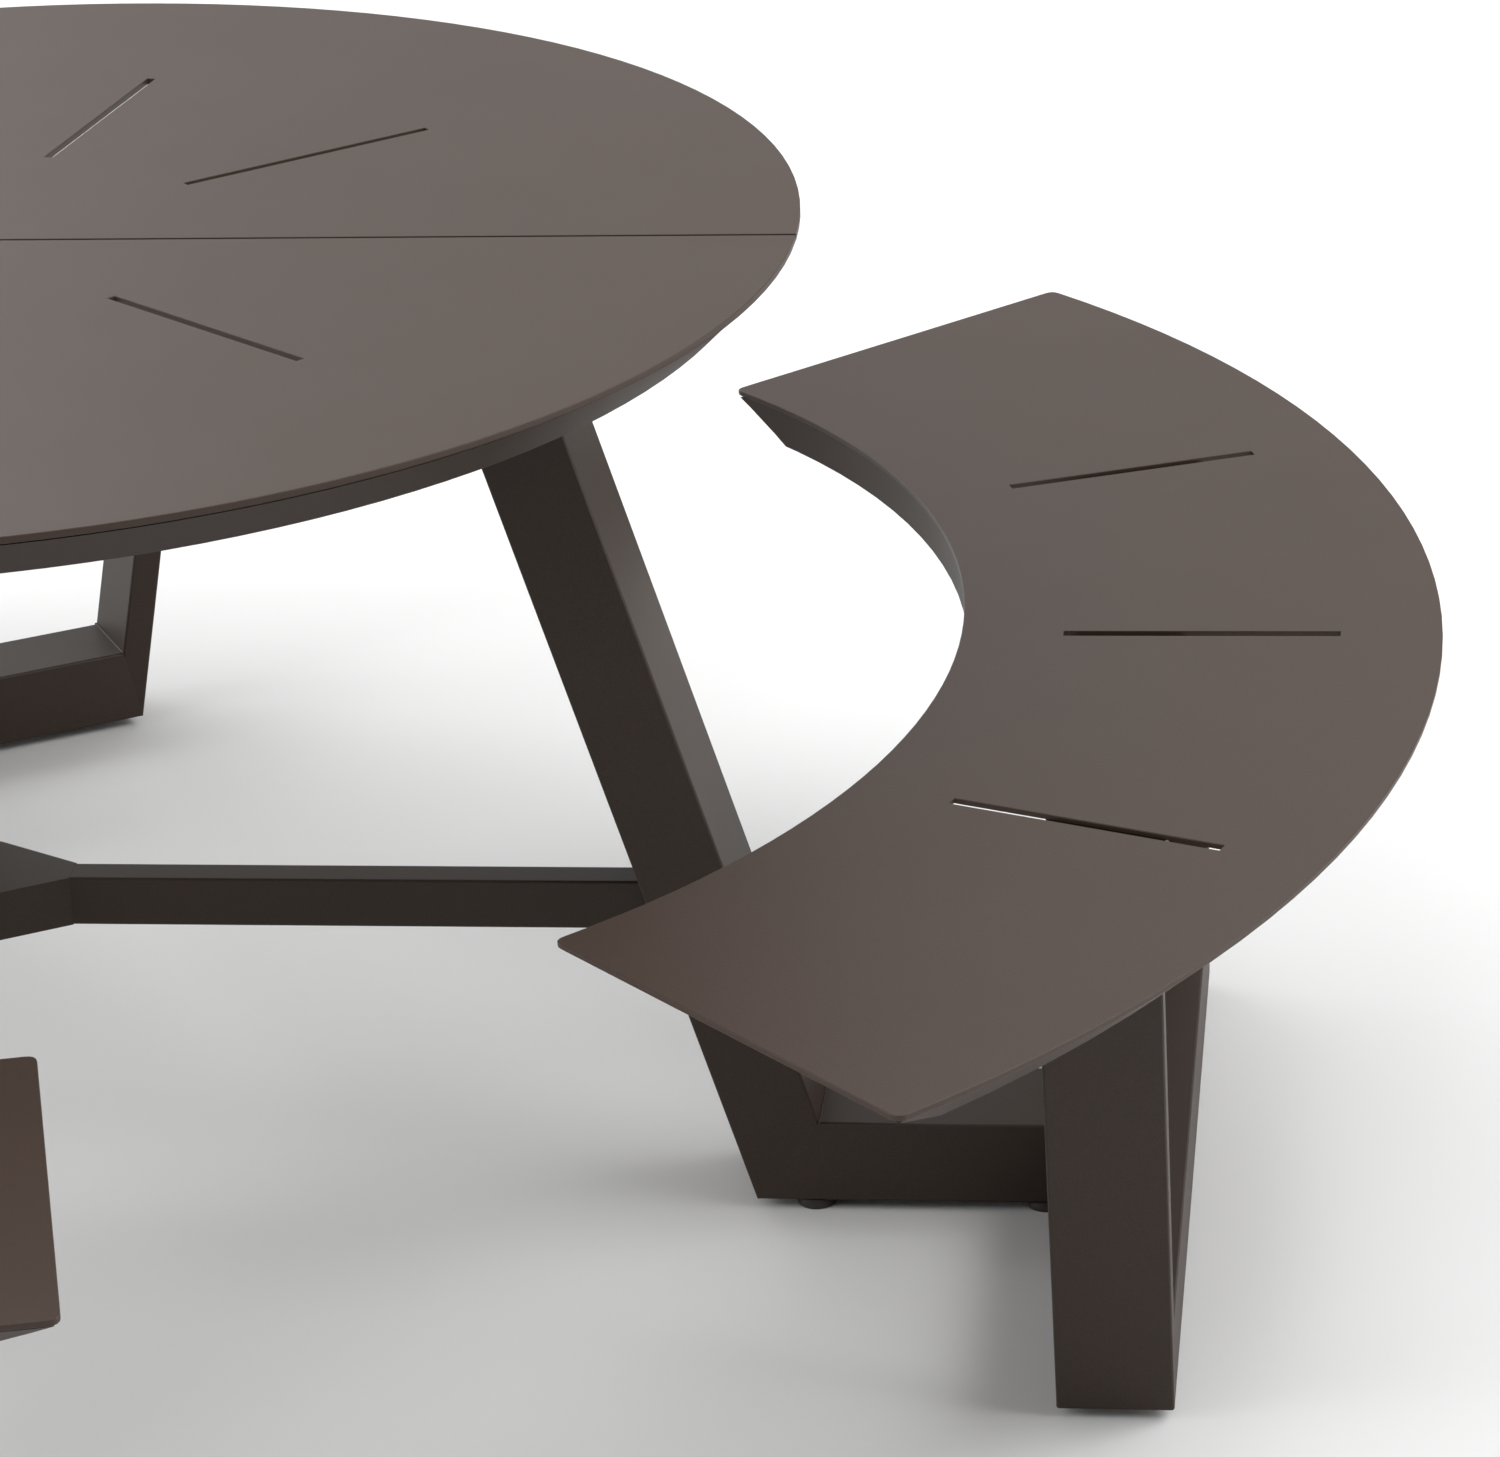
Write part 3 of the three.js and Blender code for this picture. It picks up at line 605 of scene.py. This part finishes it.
def flange_nut():
    """A flange nut with a chamfered hexagon, hanging down from z = 0 on a threaded stud."""
    nut = bmesh.new()
    rings = [add_circle(nut, FLANGE_RADIUS * part, -FLANGE_HEIGHT * depth) for part, depth in FLANGE_PROFILE]
    rings += [
        add_ring(nut, hexagon_radius, lambda turn: -HEXAGON_START),
        add_ring(nut, hexagon_radius, chamfer_height),
        add_circle(nut, NUT_FACE_RADIUS, -NUT_HEIGHT),
        add_circle(nut, COUNTERSINK_RADIUS, -NUT_HEIGHT),
        add_circle(nut, COUNTERSINK_END_RADIUS, -NUT_HEIGHT + COUNTERSINK_DEPTH),
    ]
    thread_count = int((STUD_LENGTH - NUT_HEIGHT) / THREAD_PITCH)
    for thread in range(thread_count):
        crest = -NUT_HEIGHT - thread * THREAD_PITCH
        rings.append(add_circle(nut, STUD_RADIUS, crest))
        rings.append(add_circle(nut, STUD_RADIUS - THREAD_DEPTH, crest - THREAD_PITCH / 2))
    rings.append(add_circle(nut, STUD_TIP_RADIUS, -STUD_LENGTH))
    join_rings(nut, rings)
    nut.faces.new(rings[0])
    nut.faces.new(rings[-1])
    bmesh.ops.recalc_face_normals(nut, faces=nut.faces)
    return to_mesh(nut, "flange_nut")


def make_nut_group(name, places, arm):
    """One piece that holds a nut at each place, given on arm 0."""
    group = bmesh.new()
    nut = flange_nut()
    for place in places:
        nut.transform(Matrix.Translation(place))
        group.from_mesh(nut)
        nut.transform(Matrix.Translation(-place))
    bpy.data.meshes.remove(nut)
    group.transform(arm_turn(arm))
    make_piece(name, to_mesh(group, name), STEEL)


def make_nuts():
    low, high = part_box("leg_bracket_0")
    bracket_places = [
        Vector((along, across, low.z))
        for along in (low.x + BRACKET_HOLE_INSET, high.x - BRACKET_HOLE_INSET)
        for across in (low.y + BRACKET_HOLE_INSET, high.y - BRACKET_HOLE_INSET)
    ]
    low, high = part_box("seat_rail_0")
    rail_places = [
        Vector(((low.x + high.x) / 2, step * RAIL_NUT_SPACING, low.z)) for step in (-1, 0, 1)
    ]
    for arm in range(ARM_COUNT):
        make_nut_group(f"bracket_nuts_{arm}", bracket_places, arm)
        make_nut_group(f"rail_nuts_{arm}", rail_places, arm)


# ---- Weld beads ----


def level_box(node, height):
    """Lowest and highest corner of a node's vertices that lie at a height."""
    points = [vert.co for vert in nodes[node].data.vertices if abs(vert.co.z - height) < SAME_HEIGHT]
    low = Vector(tuple(min(point[axis] for point in points) for axis in range(3)))
    high = Vector(tuple(max(point[axis] for point in points) for axis in range(3)))
    return low, high


def bead_points(corners, closed):
    """Points close together along straight runs between corners."""
    path = [*corners, corners[0]] if closed else corners
    points = []
    for start, end in zip(path, path[1:]):
        count = max(2, round((end - start).length / (RIPPLE_PITCH / RIPPLE_STEPS)))
        points += [start.lerp(end, step / count) for step in range(count)]
    if not closed:
        points.append(path[-1])
    return points


def nearest_start(vert, ring):
    """How far a ring is turned against the one before it, so that the faces between them don't twist."""
    return min(range(len(ring)), key=lambda index: (ring[index].co - vert.co).length)


def add_bead(solid, corners, radius, ripple, closed):
    """A bead of weld along straight runs between corners, with the scale-like ripples of its passes."""
    points = bead_points(corners, closed)
    rings = []
    travelled = 0.0
    for index, point in enumerate(points):
        before = points[index - 1] if index or closed else point
        after = points[(index + 1) % len(points)] if index + 1 < len(points) or closed else point
        along = (after - before).normalized()
        across = along.orthogonal().normalized()
        other = along.cross(across)
        travelled += (point - before).length
        swell = radius * (1 + ripple * math.sin(2 * math.pi * travelled / RIPPLE_PITCH))
        ring = []
        for side in range(BEAD_SIDES):
            turn = 2 * math.pi * side / BEAD_SIDES
            offset = across * math.cos(turn) + other * math.sin(turn)
            ring.append(solid.verts.new(point + offset * swell))
        rings.append(ring)
    followers = rings[1:] + rings[:1] if closed else rings[1:]
    for near, far in zip(rings, followers):
        shift = nearest_start(near[0], far)
        for side in range(BEAD_SIDES):
            after = (side + 1) % BEAD_SIDES
            far_side = (side + shift) % BEAD_SIDES
            far_after = (after + shift) % BEAD_SIDES
            solid.faces.new((near[side], near[after], far[far_after], far[far_side]))
    if not closed:
        solid.faces.new(rings[0])
        solid.faces.new(rings[-1])


def strut_bead():
    """Round the strut's end, on the leaning face of the leg."""
    leg_low, leg_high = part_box("table_leg_0")
    low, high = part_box("strut_0")
    toe = level_box("table_leg_0", leg_low.z)[0]
    lean = (toe.x - leg_low.x) / (leg_high.z - leg_low.z)
    corners = []
    for across, height in ((low.y, low.z), (high.y, low.z), (high.y, high.z), (low.y, high.z)):
        corners.append(Vector((toe.x - lean * (height - leg_low.z), across, height)))
    return corners


def leg_bead():
    """Round the leg's upper end, under its bracket."""
    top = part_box("table_leg_0")[1].z
    low, high = level_box("table_leg_0", top)
    outline = [(low.x, low.y), (high.x, low.y), (high.x, high.y), (low.x, high.y)]
    return [Vector((along, across, top)) for along, across in outline]


def heel_bead():
    """Across the crease where the foot beam meets the leg."""
    low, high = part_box("foot_beam_0")
    crease = level_box("foot_beam_0", high.z)[0]
    return [Vector((crease.x, across, high.z)) for across in (low.y, high.y)]


def upright_beads():
    """Both sides of the foot beam's butt against the crossbeam."""
    low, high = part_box("foot_beam_0")
    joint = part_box("crossbeam_0")[0].x
    return [[Vector((joint, across, height)) for height in (low.z, high.z)] for across in (low.y, high.y)]


def corner_beads(node, height):
    """The inside creases at both ends of a tube of the seat frame."""
    low, high = level_box(node, height)
    return [[Vector((along, across, height)) for along in (low.x, high.x)] for across in (low.y, high.y)]


def frame_beads():
    """All the beads on arm 0, as (corners, radius, ripple, closed)."""
    creases = [heel_bead()]
    creases += upright_beads()
    creases += corner_beads("crossbeam_0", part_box("crossbeam_0")[1].z)
    creases += corner_beads("seat_rail_0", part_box("seat_rail_0")[0].z)
    beads = [
        (strut_bead(), FINE_BEAD_RADIUS, RIPPLE, True),
        (leg_bead(), HEAVY_BEAD_RADIUS, RIPPLE, True),
    ]
    return beads + [(crease, FINE_BEAD_RADIUS, NO_RIPPLE, False) for crease in creases]


# ---- Welds ground flush ----


def add_flush_weld(solid, corners, gap):
    """Fills the gap beside a tube's end, from the four corners of that end's face."""
    outline = []
    for index, corner in enumerate(corners):
        back = (corners[index - 1] - corner).normalized()
        ahead = (corners[(index + 1) % len(corners)] - corner).normalized()
        for step in range(TUBE_CORNER_SEGMENTS + 1):
            turn = step / TUBE_CORNER_SEGMENTS * math.pi / 2
            inset = back * (1 - math.sin(turn)) + ahead * (1 - math.cos(turn))
            outline.append(corner + inset * TUBE_CORNER_RADIUS)
    near = [solid.verts.new(point) for point in outline]
    far = [solid.verts.new(point + gap) for point in outline]
    solid.faces.new(near)
    solid.faces.new(far)
    for index in range(len(near)):
        after = (index + 1) % len(near)
        solid.faces.new((near[index], near[after], far[after], far[index]))


def face_along_arm(bottom, top, half_width):
    """Corners of a tube's end face. Bottom and top are (distance along the arm, height)."""
    return [
        Vector((bottom[0], -half_width, bottom[1])),
        Vector((bottom[0], half_width, bottom[1])),
        Vector((top[0], half_width, top[1])),
        Vector((top[0], -half_width, top[1])),
    ]


def face_across_arm(bottom, top, start, end):
    """Corners of a tube's end face. Bottom and top are (sideways distance, height)."""
    return [
        Vector((start, bottom[0], bottom[1])),
        Vector((end, bottom[0], bottom[1])),
        Vector((end, top[0], top[1])),
        Vector((start, top[0], top[1])),
    ]


def foot_mitre():
    """Between the leg's foot and the foot beam."""
    low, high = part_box("foot_beam_0")
    toe = level_box("table_leg_0", low.z)[0]
    crease = level_box("table_leg_0", high.z)[1]
    heel = level_box("foot_beam_0", low.z)[0]
    return face_along_arm((toe.x, low.z), (crease.x, high.z), high.y), Vector((heel.x - toe.x, 0, 0))


def square_butt(node, along, gap):
    """At a square end of a tube that lies along the arm."""
    low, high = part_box(node)
    return face_along_arm((along, low.z), (along, high.z), high.y), Vector((gap, 0, 0))


def end_mitres(node, gap):
    """At both leaning ends of a tube that lies across the arm."""
    low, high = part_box(node)
    bottom_half = level_box(node, low.z)[1].y
    top_half = level_box(node, high.z)[1].y
    mitres = []
    for side in (-1, 1):
        face = face_across_arm((side * bottom_half, low.z), (side * top_half, high.z), low.x, high.x)
        mitres.append((face, Vector((0, side * gap, 0))))
    return mitres


def flush_welds():
    """All the flush welds on arm 0, as (corners of the face, gap)."""
    return [
        foot_mitre(),
        square_butt("foot_beam_0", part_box("foot_beam_0")[1].x, BUTT_GAP),
        square_butt("strut_0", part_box("strut_0")[0].x, -BUTT_GAP),
        *end_mitres("crossbeam_0", BUTT_GAP),
        *end_mitres("seat_rail_0", RAIL_GAP),
    ]


def make_weld_beads():
    beads = frame_beads()
    welds = flush_welds()
    for arm in range(ARM_COUNT):
        solid = bmesh.new()
        for corners, radius, ripple, closed in beads:
            add_bead(solid, corners, radius, ripple, closed)
        for corners, gap in welds:
            add_flush_weld(solid, corners, gap)
        bmesh.ops.recalc_face_normals(solid, faces=solid.faces)
        solid.transform(arm_turn(arm))
        make_piece(f"weld_beads_{arm}", to_mesh(solid, "weld_beads"), FRAME_COAT)


# ---- Everything together ----

make_camera()
make_world()
make_floor()
for softbox in SOFTBOXES:
    make_softbox(*softbox)
dress_cad_nodes()
make_glides()
make_nuts()
make_weld_beads()
